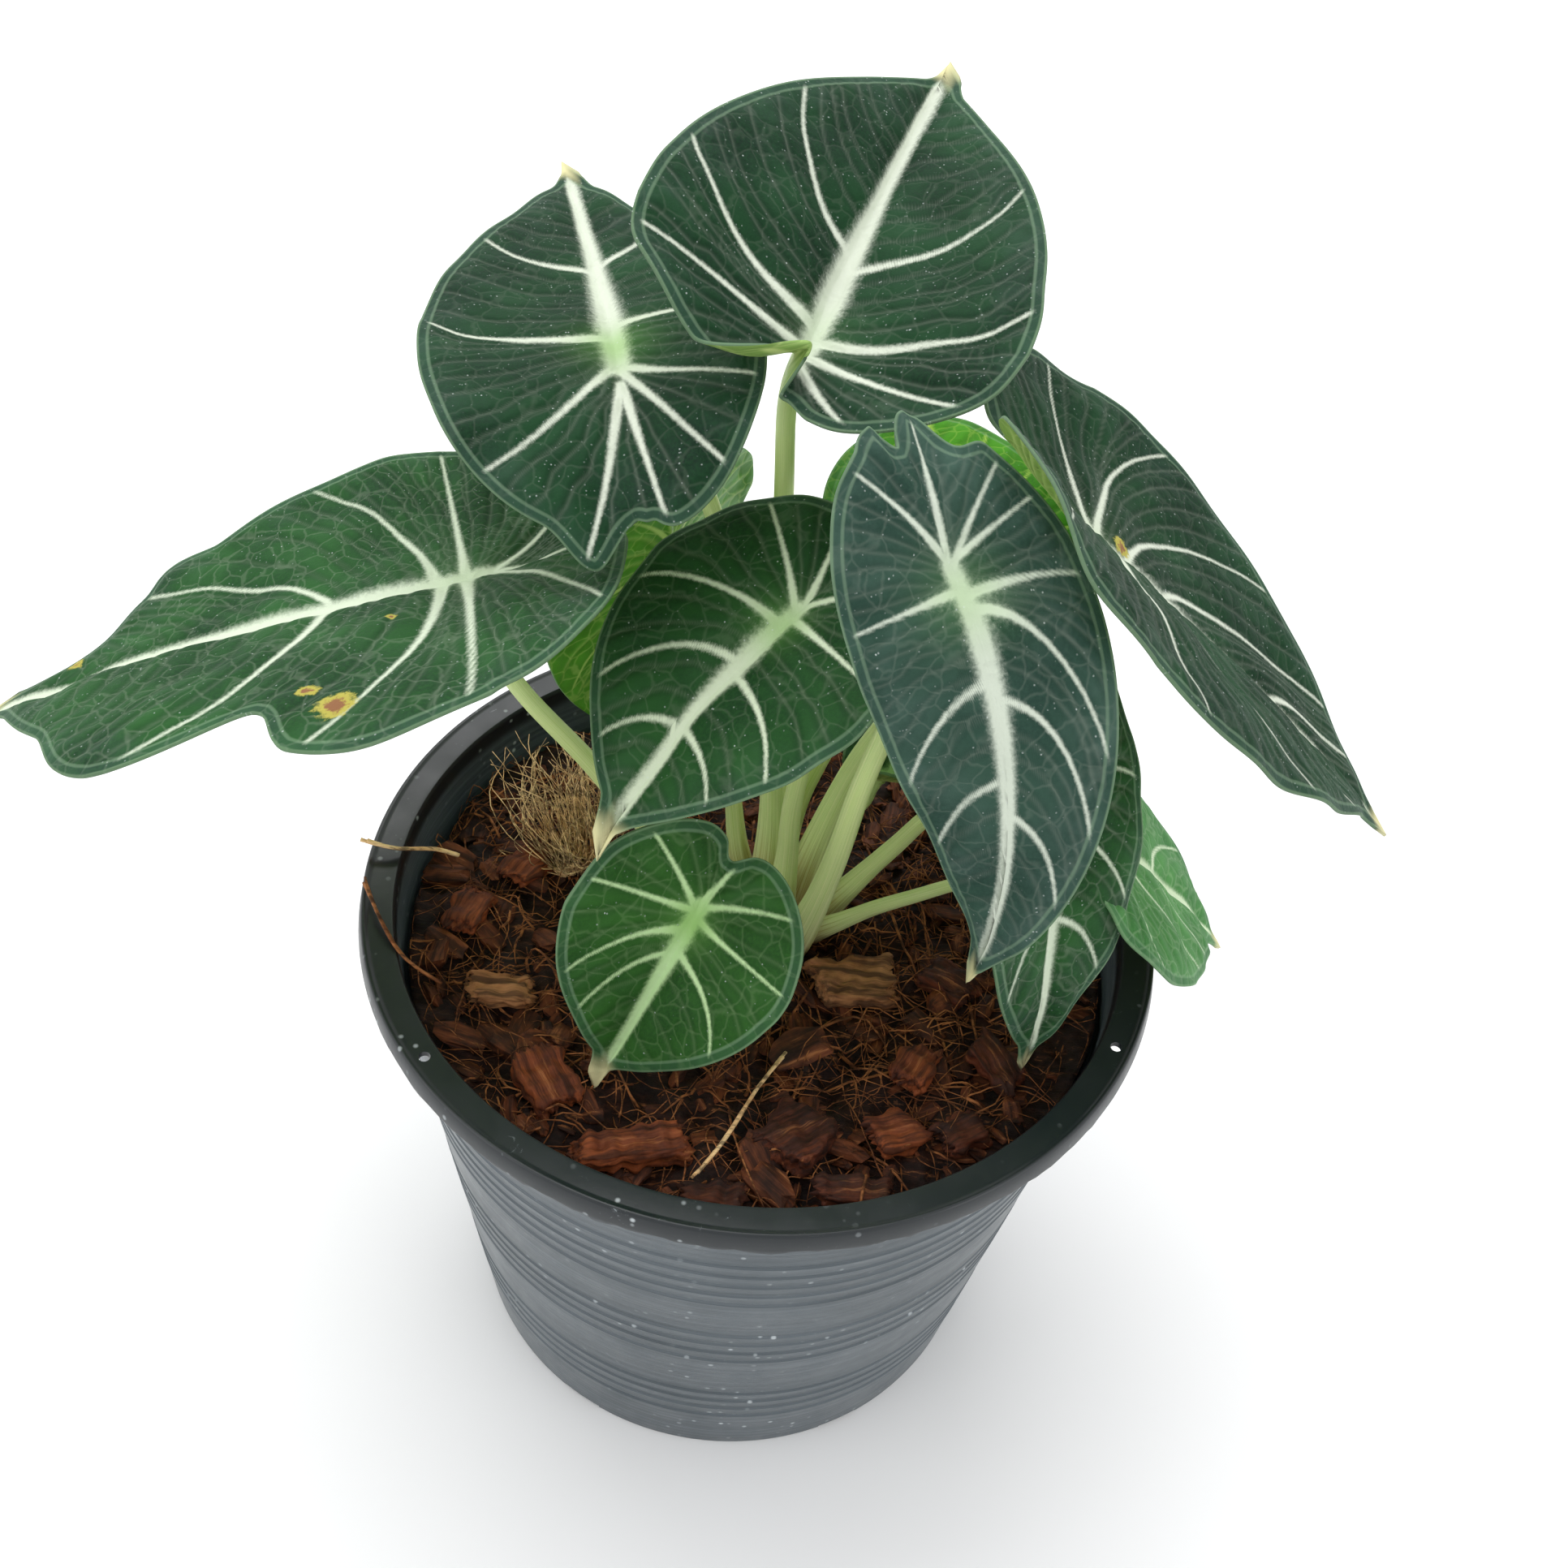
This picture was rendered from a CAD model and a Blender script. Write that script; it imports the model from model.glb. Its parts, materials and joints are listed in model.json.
import json
import math
import random

import bmesh
import bpy
import numpy as np
from mathutils import Matrix, Vector

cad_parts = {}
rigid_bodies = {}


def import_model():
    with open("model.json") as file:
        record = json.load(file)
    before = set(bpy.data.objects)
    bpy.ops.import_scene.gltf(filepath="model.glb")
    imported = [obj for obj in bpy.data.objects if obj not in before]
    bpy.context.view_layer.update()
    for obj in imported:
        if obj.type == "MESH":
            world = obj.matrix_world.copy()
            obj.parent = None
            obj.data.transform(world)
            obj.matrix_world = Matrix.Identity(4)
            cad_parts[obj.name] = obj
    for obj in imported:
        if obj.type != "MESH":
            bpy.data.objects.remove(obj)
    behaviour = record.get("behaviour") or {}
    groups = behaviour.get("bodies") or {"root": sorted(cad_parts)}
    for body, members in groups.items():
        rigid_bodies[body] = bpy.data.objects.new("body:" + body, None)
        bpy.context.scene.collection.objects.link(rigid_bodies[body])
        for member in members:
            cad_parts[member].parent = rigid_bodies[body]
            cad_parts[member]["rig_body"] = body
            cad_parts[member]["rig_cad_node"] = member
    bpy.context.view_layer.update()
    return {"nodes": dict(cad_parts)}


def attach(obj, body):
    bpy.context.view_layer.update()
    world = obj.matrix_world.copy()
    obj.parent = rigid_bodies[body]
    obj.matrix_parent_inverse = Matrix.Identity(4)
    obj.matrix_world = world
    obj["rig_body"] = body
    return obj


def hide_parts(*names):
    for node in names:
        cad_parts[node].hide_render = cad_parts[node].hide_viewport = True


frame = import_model()
mm = 0.001
print("frame loaded:", len(frame["nodes"]), "nodes")


# small helpers

def deselectAll():
    if bpy.context.mode != "OBJECT":
        bpy.ops.object.mode_set(mode="OBJECT")
    bpy.ops.object.select_all(action="DESELECT")


def makeActive(piece):
    deselectAll()
    piece.select_set(True)
    bpy.context.view_layer.objects.active = piece


def applyModifier(piece, modifier):
    makeActive(piece)
    bpy.ops.object.modifier_apply(modifier=modifier.name)


def closeUp(piece, threshold=1e-6, holes=0):  # weld, fill the open ends and turn the faces outward
    makeActive(piece)
    bpy.ops.object.mode_set(mode="EDIT")
    bpy.ops.mesh.select_all(action="SELECT")
    bpy.ops.mesh.remove_doubles(threshold=threshold)
    bpy.ops.mesh.select_all(action="SELECT")
    if holes:
        bpy.ops.mesh.fill_holes(sides=holes)
    bpy.ops.mesh.normals_make_consistent(inside=False)
    bpy.ops.object.mode_set(mode="OBJECT")


def readPoints(mesh):
    flat = np.zeros(len(mesh.vertices) * 3, np.float32)
    mesh.vertices.foreach_get("co", flat)
    return flat.reshape(-1, 3).astype(float)


def writePoints(mesh, points):
    mesh.vertices.foreach_set("co", points.astype(np.float32).ravel())
    mesh.update()


def readNormals(mesh):
    flat = np.zeros(len(mesh.vertices) * 3, np.float32)
    mesh.vertex_normals.foreach_get("vector", flat)
    return flat.reshape(-1, 3).astype(float)


def addValue(mesh, name, values):
    layer = mesh.attributes.new(name, "FLOAT", "POINT")
    layer.data.foreach_set("value", values.astype(np.float32))


def addVector(mesh, name, values):
    layer = mesh.attributes.new(name, "FLOAT_VECTOR", "POINT")
    layer.data.foreach_set("vector", values.astype(np.float32).ravel())


def smoothStep(value, low, high):
    t = np.clip((value - low) / (high - low), 0, 1)
    return t * t * (3 - 2 * t)


def wobble(points, size, seed):  # cheap smooth noise from crossed waves, about -1 to 1
    rng = np.random.default_rng(seed)
    total = np.zeros(len(points))
    for _ in range(7):
        direction = rng.normal(size=points.shape[1])
        direction /= np.linalg.norm(direction)
        turns = rng.uniform(0.6, 1.7) * math.tau / size
        total += np.sin(points @ direction * turns + rng.uniform(0, math.tau))
    return total / 3.2


def finishPiece(piece, nodes=(), smooth=True):
    makeActive(piece)
    if smooth:
        bpy.ops.object.shade_smooth()
    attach(piece, "root")
    if nodes:
        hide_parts(*nodes)


# node helpers

def addNode(tree, kind, inputs=None, **settings):
    made = tree.nodes.new(kind)
    for key, value in settings.items():
        setattr(made, key, value)
    for key, value in (inputs or {}).items():
        if isinstance(value, bpy.types.NodeSocket):
            tree.links.new(value, made.inputs[key])
        else:
            made.inputs[key].default_value = value
    return made


def calc(tree, operation, a, b=0.0, clamp=False):
    return addNode(tree, "ShaderNodeMath", {0: a, 1: b}, operation=operation, use_clamp=clamp).outputs[0]


def times(tree, a, b):
    return calc(tree, "MULTIPLY", a, b)


def ramp(tree, value, low, high, start=0.0, end=1.0):
    made = addNode(tree, "ShaderNodeMapRange", {0: value, 1: low, 2: high, 3: start, 4: end})
    made.interpolation_type = "SMOOTHSTEP"
    return made.outputs[0]


def blendColours(tree, amount, a, b, kind="MIX"):
    made = addNode(tree, "ShaderNodeMix", {0: amount, 6: a, 7: b}, data_type="RGBA", blend_type=kind)
    return made.outputs[2]


def tinted(tree, base, colour, mask, strength=1.0):  # base, moved to a colour where the mask is white
    return blendColours(tree, times(tree, mask, strength), base, colour)


def noiseAt(tree, where, scale, detail=3.0, roughness=0.5):
    made = addNode(tree, "ShaderNodeTexNoise", {"Vector": where, "Scale": scale, "Detail": detail,
                                                "Roughness": roughness})
    return made.outputs["Fac"]


def readAttribute(tree, name, output="Fac"):
    return addNode(tree, "ShaderNodeAttribute", attribute_name=name).outputs[output]


def newGroup(name, inputs, outputs):
    tree = bpy.data.node_groups.new(name, "ShaderNodeTree")
    for socketName, kind, value in inputs:
        socket = tree.interface.new_socket(name=socketName, in_out="INPUT", socket_type="NodeSocket" + kind)
        if value is not None:
            socket.default_value = value
    for socketName, kind in outputs:
        tree.interface.new_socket(name=socketName, in_out="OUTPUT", socket_type="NodeSocket" + kind)
    return tree, tree.nodes.new("NodeGroupInput").outputs, tree.nodes.new("NodeGroupOutput").inputs


def useGroup(tree, group, inputs=None):
    made = tree.nodes.new("ShaderNodeGroup")
    made.node_tree = group
    for key, value in (inputs or {}).items():
        if isinstance(value, bpy.types.NodeSocket):
            tree.links.new(value, made.inputs[key])
        else:
            made.inputs[key].default_value = value
    return made.outputs


def newMaterial(name):
    material = bpy.data.materials.new(name)
    material.use_nodes = True
    tree = material.node_tree
    return material, tree, tree.nodes["Principled BSDF"]


def objectPlace(tree):
    return addNode(tree, "ShaderNodeTexCoord").outputs["Object"]


def bumpInto(tree, shader, height, distance, strength=1.0):
    bump = addNode(tree, "ShaderNodeBump", {"Height": height, "Distance": distance, "Strength": strength})
    tree.links.new(bump.outputs[0], shader.inputs["Normal"])


def makeSpeckGroup():  # small pale specks of dust and hard water
    tree, given, made = newGroup("dustSpecks", (("Place", "Vector", None), ("Scale", "Float", 900.0),
                                                ("Amount", "Float", 0.5)), (("Mask", "Float"),))
    cells = addNode(tree, "ShaderNodeTexVoronoi", {"Vector": given["Place"], "Scale": given["Scale"],
                                                   "Randomness": 1.0})
    spot = ramp(tree, cells.outputs["Distance"], 0.10, 0.26, 1.0, 0.0)
    shade = addNode(tree, "ShaderNodeSeparateColor", {0: cells.outputs["Color"]}).outputs[0]
    chosen = calc(tree, "GREATER_THAN", given["Amount"], shade)
    patch = ramp(tree, noiseAt(tree, given["Place"], 55.0, 4.0, 0.6), 0.42, 0.68)
    mask = times(tree, times(tree, spot, chosen), patch)
    tree.links.new(mask, made["Mask"])
    return tree


def makeMarginGroup():  # the pale edge, the grey band inside it and the pale line along the band
    tree, given, made = newGroup("bladeMargin", (("Edge", "Float", 10.0), ("Width", "Float", 2.0)),
                                 (("Band", "Float"), ("Line", "Float"), ("Rim", "Float")))
    band = ramp(tree, given["Edge"], given["Width"], calc(tree, "ADD", given["Width"], 0.5), 1.0, 0.0)
    middle = calc(tree, "ADD", given["Width"], 0.35)
    away = calc(tree, "ABSOLUTE", calc(tree, "SUBTRACT", given["Edge"], middle))
    line = ramp(tree, away, 0.08, 0.42, 1.0, 0.0)
    rim = ramp(tree, given["Edge"], 0.15, 0.5, 1.0, 0.0)
    tree.links.new(band, made["Band"])
    tree.links.new(line, made["Line"])
    tree.links.new(rim, made["Rim"])
    return tree


def makeNetGroup():  # the finest net of veins between the side veins
    tree, given, made = newGroup("veinNet", (("Place", "Vector", None), ("Scale", "Float", 22.0)),
                                 (("Net", "Float"), ("Swell", "Float")))
    bent = addNode(tree, "ShaderNodeTexNoise", {"Vector": given["Place"], "Scale": 30.0, "Detail": 2.0})
    moved = addNode(tree, "ShaderNodeVectorMath", {0: bent.outputs["Color"], 1: (0.018, 0.018, 0.018)},
                    operation="MULTIPLY")
    place = addNode(tree, "ShaderNodeVectorMath", {0: given["Place"], 1: moved.outputs[0]},
                    operation="ADD").outputs[0]
    cells = addNode(tree, "ShaderNodeTexVoronoi", {"Vector": place, "Scale": given["Scale"]},
                    feature="DISTANCE_TO_EDGE")
    tree.links.new(ramp(tree, cells.outputs["Distance"], 0.0, 0.07, 1.0, 0.0), made["Net"])
    tree.links.new(ramp(tree, cells.outputs["Distance"], 0.0, 0.3), made["Swell"])
    return tree


dustSpecks = makeSpeckGroup()
bladeMargin = makeMarginGroup()
veinNet = makeNetGroup()


# leaves: at is where the stalk meets the blade, headings turn clockwise from +Y, lengths are in mm
# veins: where each side vein leaves the midrib, and the direction that it ends in (left is positive)
# bumps: turn round the outline, span, and how far out; curls: turn, span, rolled width, roll radius
# ribs: how broad the pale veins are; heart: how green they are at the stalk; stains: place and size

leafSettings = {
    "a": dict(at=(-2, 25, 219), heading=14, pitch=12, roll=17, length=77, halfWidth=(36, 36), lobes=18,
              bend=0.06, lobeBend=0, swing=0, twist=-0.1, fold=(23, 20), cup=(-0.15, 0.6),
              stalk=(2.4, 1.7), foot=(3.6, 95), sway=(-1, 14), cells=200, tint="deep",
              veins=((22, 24), (2, 62), (-3, 98), (-5, 146), (18, -32), (-1, -75), (-6, -147), (-4, -112)),
              curls=((0.462, 0.06, 10.5, 3.0),)),
    "b": dict(at=(-34, 28, 211), heading=-13, pitch=-8, roll=-17, length=72, halfWidth=(32, 25), lobes=37,
              bend=-0.1, lobeBend=1.3, swing=-0.07, twist=0.13, fold=(11, 2), cup=(0.3, -0.5),
              stalk=(2.2, 1.6), foot=(3.6, 185), sway=(11, 8), cells=190, tint="deep", heart=0.7,
              bumps=((0.5, 0.088, 10),),
              veins=((32, 23), (4, 69), (-4, 140), (-10, 171), (33, -15), (8, -70), (-5, -123), (-6, -151),
                     (-10, -170))),
    "c": dict(at=(-56, 8, 176), heading=-109, pitch=-9, roll=20, length=94, halfWidth=(45, 45), lobes=28,
              bend=0.28, lobeBend=-0.7, swing=0.27, twist=-0.16, fold=(4, 0), cup=(-0.3, 0.6),
              stalk=(2.3, 1.6), foot=(9.3, 190), sway=(0, 0), cells=215, tint="green",
              bumps=((0.25, 0.05, 5), (0.19, 0.036, -8), (0.15, 0.045, 6), (0.968, 0.04, -6),
                     (0.912, 0.02, 4), (0.5, 0.05, 4)),
              stains=((19, 38, 3.2), (23, 32, 1.6), (76, -6, 1.8), (12, 14, 1.0)),
              veins=((24, 34), (4, 63), (0, 87), (-5, 124), (-6, 160), (23, -18), (5, -53), (0, -90),
                     (-4, -135))),
    "d": dict(at=(-1, -5, 185), heading=-131, pitch=-24, roll=2, length=45, halfWidth=(28, 28), lobes=20,
              bend=0.58, lobeBend=-0.7, swing=-0.27, twist=-0.23, fold=(11, 11), cup=(-0.2, -0.45),
              stalk=(2.2, 1.4), foot=(3.6, 275), sway=(0, 0), cells=150, tint="mid", heart=0.6,
              veins=((24, 22), (12, 41), (-1, 90), (-3, 140), (24, -18), (10, -33), (1, -67), (-2, -119),
                     (-4, -155))),
    "e": dict(at=(24, -22, 209), heading=139, pitch=-41, roll=15, length=74, halfWidth=(19, 19), lobes=25,
              bend=0.88, lobeBend=0, swing=0.25, twist=0.69, fold=(1, -2), cup=(0, -0.35),
              stalk=(2.5, 1.6), foot=(9.3, 290), sway=(0, 0), cells=180, tint="grey", ribs=0.72, heart=0.4,
              bumps=((0.5, 0.09, 4), (0.57, 0.055, 3), (0.395, 0.034, -3.5)),
              veins=((36, 10), (17, 18), (3, 28), (1, 76), (-4, 115), (-3, 135), (-5, 169), (30, -14),
                     (14, -26), (0, -90), (-4, -158))),
    "f": dict(at=(47, 9, 198), heading=89, pitch=-38, roll=-10, length=87, halfWidth=(41, 40), lobes=33,
              bend=0.09, lobeBend=-0.56, swing=-0.03, twist=0.15, fold=(6.5, 15), cup=(0.4, -0.6),
              stalk=(2.3, 1.6), foot=(3.6, 5), sway=(0, 11), cells=200, tint="deep", ribs=0.8,
              stains=((7, 4, 2.2),), curls=((0.43, 0.05, 6.0, 2.2),),
              veins=((48, 5), (17, 11), (8, 29), (1, 64), (1, 108), (-3, 150), (40, -10), (14, -30),
                     (3, -70), (-4, -130))),
    "g": dict(at=(-11, -30, 139), heading=-132, pitch=-58, roll=-32, length=36, halfWidth=(22.5, 22.5),
              lobes=16, bend=0.2, lobeBend=0.75, swing=0.23, twist=-0.07, fold=(22, 28), cup=(0, 0.4),
              stalk=(1.7, 1.1), foot=(9.3, 245), sway=(0, 0), cells=130, tint="fresh", heart=0.8,
              veins=((7, 43), (0, 90), (-2, 126), (-3, 172), (8, -23), (3, -42), (-1, -93), (-1, -125))),
    "h": dict(at=(43, -11, 167), heading=155, pitch=-42, roll=-12, length=62, halfWidth=(20, 20), lobes=26,
              bend=0.9, lobeBend=0.3, swing=0.2, twist=-0.07, fold=(10, 16), cup=(-0.6, -0.3),
              stalk=(2.0, 1.3), foot=(9.3, 5), sway=(0, 0), cells=150, tint="green", ribs=0.8,
              veins=((28, 14), (12, 28), (2, 70), (-4, 145), (24, -14), (10, -30), (1, -75), (-4, -140))),
    "i": dict(at=(59, 3, 137), heading=60, pitch=-44, roll=10, length=62, halfWidth=(32, 22), lobes=20,
              bend=0.17, lobeBend=0.16, swing=0.04, twist=0.15, fold=(9, 7), cup=(-0.5, -0.6),
              stalk=(1.6, 1.1), foot=(9.3, 328), sway=(0, 0), cells=140, tint="pale", ribs=0.8,
              bumps=((0.79, 0.2, 8),),
              veins=((26, 16), (10, 36), (1, 75), (-4, 140), (22, -16), (6, -30), (0, -80), (-4, -140))),
    "j": dict(at=(-24, 32, 166), heading=-55, pitch=-78, roll=0, length=50, halfWidth=(27, 27), lobes=20,
              bend=0.2, lobeBend=0.2, swing=0, twist=0, fold=(8, 8), cup=(0, 0),
              stalk=(1.8, 1.3), foot=(9.3, 135), sway=(0, 0), cells=110, tint="lime",
              veins=((24, 18), (10, 36), (1, 75), (-4, 140), (22, -16), (8, -34), (0, -80), (-4, -140))),
    "k": dict(at=(27, 30, 178), heading=-10, pitch=8, roll=0, length=42, halfWidth=(24, 24), lobes=16,
              bend=0.3, lobeBend=0.5, swing=0, twist=0, fold=(8, 8), cup=(0, 0),
              stalk=(1.8, 1.3), foot=(9.3, 90), sway=(0, 0), cells=110, tint="lime",
              veins=((18, 22), (6, 40), (0, 80), (-3, 140), (16, -20), (6, -42), (0, -85), (-3, -140))),
    "l": dict(at=(21, 27, 122), heading=70, pitch=-20, roll=0, length=24, halfWidth=(10, 10), lobes=9,
              bend=0.6, lobeBend=0.5, swing=0, twist=0, fold=(40, 40), cup=(1, 1),
              stalk=(1.2, 0.9), foot=(9.3, 48), sway=(0, 0), cells=70, tint="fresh",
              veins=((10, 20), (2, 60), (-2, 130), (9, -20), (2, -60), (-2, -130))),
}

bladeShape = {
    # half the outline from the tip to the notch: along in lengths or lobes, across in half widths
    "outline": ((1.00, 0.00), (0.93, 0.10), (0.80, 0.34), (0.60, 0.64), (0.40, 0.85), (0.20, 0.97),
                (0.00, 1.00), (-0.48, 0.90), (-0.83, 0.64), (-1.00, 0.34), (-0.95, 0.14), (-0.76, 0.00)),
    "tipLength": 5.0,       # the fine point past the outline
    "thickness": 0.55,
    "midribWidth": (2.3, 2.7, 1.7, 0.85),  # at the lobes, the stalk, half way and the tip
    "veinWidth": (1.0, 0.52),
    "starSize": 6.5,        # where all the veins meet at the stalk
    "starVein": 0.45,
    "starWidth": 2.4,
    "heartSize": 7.0,
    "fineWidth": 0.35,
    "fineSpacing": 6.2,
    "quilt": 0.75,          # how far the blade swells between side veins
    "fineQuilt": 0.34,
    "ripple": 0.7,          # how far the margin waves up and down
    "marginWidth": 1.35,
}


def curveThrough(points, count):  # Catmull-Rom
    points = np.array(points, float)
    ends = np.vstack((points[:1] * 2 - points[1:2], points, points[-1:] * 2 - points[-2:-1]))
    place = np.linspace(0, len(points) - 1, count)
    index = np.minimum(place.astype(int), len(points) - 2)
    t = (place - index)[:, None]
    a, b, c, d = (ends[index + shift] for shift in range(4))
    slope = c - a
    curve = 2 * a - 5 * b + 4 * c - d
    turn = 3 * b - a - 3 * c + d
    return 0.5 * (2 * b + slope * t + curve * t ** 2 + turn * t ** 3)


def headingAxes(leaf, along):
    bend = np.where(along > 0, leaf["bend"], leaf["lobeBend"])
    pitch = np.radians(leaf["pitch"] - bend * along)
    heading = np.radians(leaf["heading"] + leaf["swing"] * along)
    forward = np.stack((np.cos(pitch) * np.sin(heading), np.cos(pitch) * np.cos(heading), np.sin(pitch)), -1)
    left = np.stack((-np.cos(heading), np.sin(heading), np.zeros_like(heading)), -1)
    return forward, left, np.cross(forward, left)


def raisedAxes(leaf, along):
    left, up = headingAxes(leaf, along)[1:]
    roll = np.radians(leaf["roll"] + leaf["twist"] * along)[:, None]
    return left * np.cos(roll) + up * np.sin(roll), up * np.cos(roll) - left * np.sin(roll)


def bladeSurface(leaf, along, across):  # the bent blade, in metres, from mm along and across it
    steps = 12
    place = np.zeros((len(along), 3)) + np.array(leaf["at"], float)
    for step in range(steps):
        place += headingAxes(leaf, along * (step + 0.5) / steps)[0] * (along / steps)[:, None]
    outward, raised = raisedAxes(leaf, along)
    side = np.where(across > 0, 0, 1)
    fold = np.radians(np.array(leaf["fold"], float))[side]
    cup = np.radians(np.array(leaf["cup"], float))[side]
    cup = np.where(np.abs(cup) < 1e-6, 1e-6, cup)
    width = np.abs(across)
    reach = (np.sin(fold + cup * width) - np.sin(fold)) / cup
    rise = (np.cos(fold) - np.cos(fold + cup * width)) / cup
    return (place + outward * (np.sign(across) * reach)[:, None] + raised * rise[:, None]) * mm


def bladeOutline(leaf):  # a closed loop of points from the tip round the left side, in mm
    half = list(bladeShape["outline"])
    whole = half + [(along, -across) for along, across in half[-2:0:-1]]
    count = 720
    loop = whole[-1:] + whole + whole[:2]
    points = curveThrough(loop, (len(loop) - 1) * 40 + 1)[40:-80]
    sourceTurn = np.linspace(0, 1, len(points))
    turn = np.arange(count) / count
    along = np.interp(turn, sourceTurn, points[:, 0])
    across = np.interp(turn, sourceTurn, points[:, 1])
    along = along * np.where(along > 0, leaf["length"], leaf["lobes"])
    across = across * np.where(across > 0, leaf["halfWidth"][0], leaf["halfWidth"][1])
    away = np.minimum(turn, 1 - turn)
    along = along + bladeShape["tipLength"] * np.clip(1 - away / 0.018, 0, 1) ** 1.6
    size = np.hypot(along, across)
    for where, span, out in leaf.get("bumps", ()):
        gap = np.abs((turn - where + 0.5) % 1 - 0.5)
        size = size + out * np.clip(1 - (gap / span) ** 2, 0, 1) ** 2
    scale = size / np.hypot(along, across)
    return turn, along * scale, across * scale


def lineDistance(points, line, widths=None):  # nearest distance to a polyline, and the width there
    nearest = np.full(len(points), 1e9)
    width = np.zeros(len(points))
    for i in range(len(line) - 1):
        start, run = line[i], line[i + 1] - line[i]
        t = np.clip(((points - start) @ run) / max(run @ run, 1e-9), 0, 1)
        gap = np.hypot(*(points - start - t[:, None] * run).T)
        closer = gap < nearest
        nearest = np.where(closer, gap, nearest)
        if widths is not None:
            width = np.where(closer, widths[i] + (widths[i + 1] - widths[i]) * t, width)
    return nearest, width


def veinLine(outline, start, angle, reach=0.97):
    along, across = outline[1:]
    angles = np.degrees(np.arctan2(across, along))
    edge = np.argmin(np.abs((angles - angle + 180) % 360 - 180))
    end = np.array((along[edge], across[edge])) * reach
    forwards = end[0] > start
    lean, spread = (0.12, 0.72) if forwards else (0.6, 0.4)
    control = np.array((start + lean * (end[0] - start), end[1] * spread))
    t = np.linspace(0, 1, 9)[:, None]
    return np.array((start, 0.0)) * (1 - t) ** 2 + control * 2 * t * (1 - t) + end * t ** 2


def fineVeins(leaf, outline, rng):  # parallel fine veins between each pair of side veins
    lines = []
    for side in (1, -1):
        own = sorted((abs(angle), start) for start, angle in leaf["veins"] if angle * side > 0)
        ends = [(0.0, leaf["length"] * 0.97)] + own + [(179.0, -leaf["lobes"] * 0.5)]
        for (angleA, startA), (angleB, startB) in zip(ends, ends[1:]):
            meanSize = (leaf["length"] + leaf["halfWidth"][0]) / 2
            gap = max(abs(startA - startB), math.radians(angleB - angleA) * meanSize * 0.7)
            count = int(gap / bladeShape["fineSpacing"])
            for step in range(count):
                t = (step + 1 + rng.uniform(-0.2, 0.2)) / (count + 1)
                start = startA + (startB - startA) * t
                angle = angleA + (angleB - angleA) * t
                lines.append(veinLine(outline, start, angle * side))
    return lines


def discPlaces(square):  # a square grid drawn in to a disc: turn and radius of each point
    x, y = square.T
    wide = np.abs(x) >= np.abs(y)
    safeX, safeY = np.where(x == 0, 1e-9, x), np.where(y == 0, 1e-9, y)
    radius = np.where(wide, x, y)
    angle = np.where(wide, math.pi / 4 * y / safeX, math.pi / 2 - math.pi / 4 * x / safeY)
    turn = ((angle + np.where(radius < 0, math.pi, 0)) / math.tau) % 1
    return turn, np.abs(radius)


def rollMargins(leaf, turn, edge, place, normals, outward):  # curl stretches of the margin up and over
    for where, span, width, roll in leaf.get("curls", ()):
        gap = np.abs((turn - where + 0.5) % 1 - 0.5)
        excess = np.clip(width * np.clip(1 - (gap / span) ** 2, 0, 1) - edge, 0, None)
        angle = excess / roll
        place = place + outward * (roll * np.sin(angle) - excess)[:, None] * mm
        place = place + normals * (roll * (1 - np.cos(angle)))[:, None] * mm
    return place


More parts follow.
